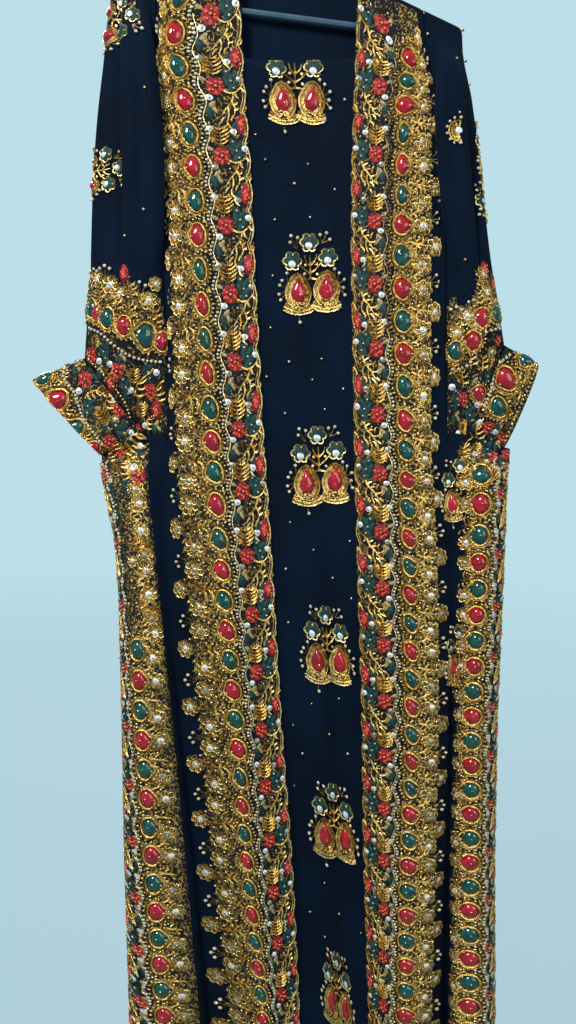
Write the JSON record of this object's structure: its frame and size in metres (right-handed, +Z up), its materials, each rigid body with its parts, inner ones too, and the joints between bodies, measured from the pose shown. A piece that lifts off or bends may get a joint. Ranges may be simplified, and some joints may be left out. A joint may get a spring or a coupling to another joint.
{
  "type": "embroidered kaftan on a clothes hanger",
  "caption": "Long open-front kaftan with beaded borders and wide sleeves, hanging flat on a tube clothes hanger.",
  "frame": {"origin": "the point inside the top of the hanger's hook where it bears on its rod", "axes": "+Z up, +X to the right of someone who looks at the front, front of the garment towards -Y"},
  "size_m": [0.6374, 0.1317, 1.5893],
  "materials": {
    "cloth": "soft matt georgette with a faint sheen",
    "embroidery": "metallic gold thread, pearls, sequins and glass stones",
    "hanger": "smooth moulded tube"
  },
  "bodies": {
    "root": {"back": "cloth", "front_left": "cloth", "front_right": "cloth", "center_panel": "cloth", "sleeve_left": "cloth", "sleeve_right": "cloth", "cuff_left": "embroidery", "cuff_right": "embroidery", "front_band_left": "embroidery", "front_band_right": "embroidery", "side_band_left": "embroidery", "side_band_right": "embroidery", "back_band_left": "embroidery", "back_band_right": "embroidery", "sleeve_band_left": "embroidery", "sleeve_band_right": "embroidery", "motif_1": "embroidery", "motif_2": "embroidery", "motif_3": "embroidery", "motif_4": "embroidery", "motif_5": "embroidery", "motif_6": "embroidery", "hanger_frame": "hanger", "hanger_hook": "hanger"}
  },
  "joints": []
}
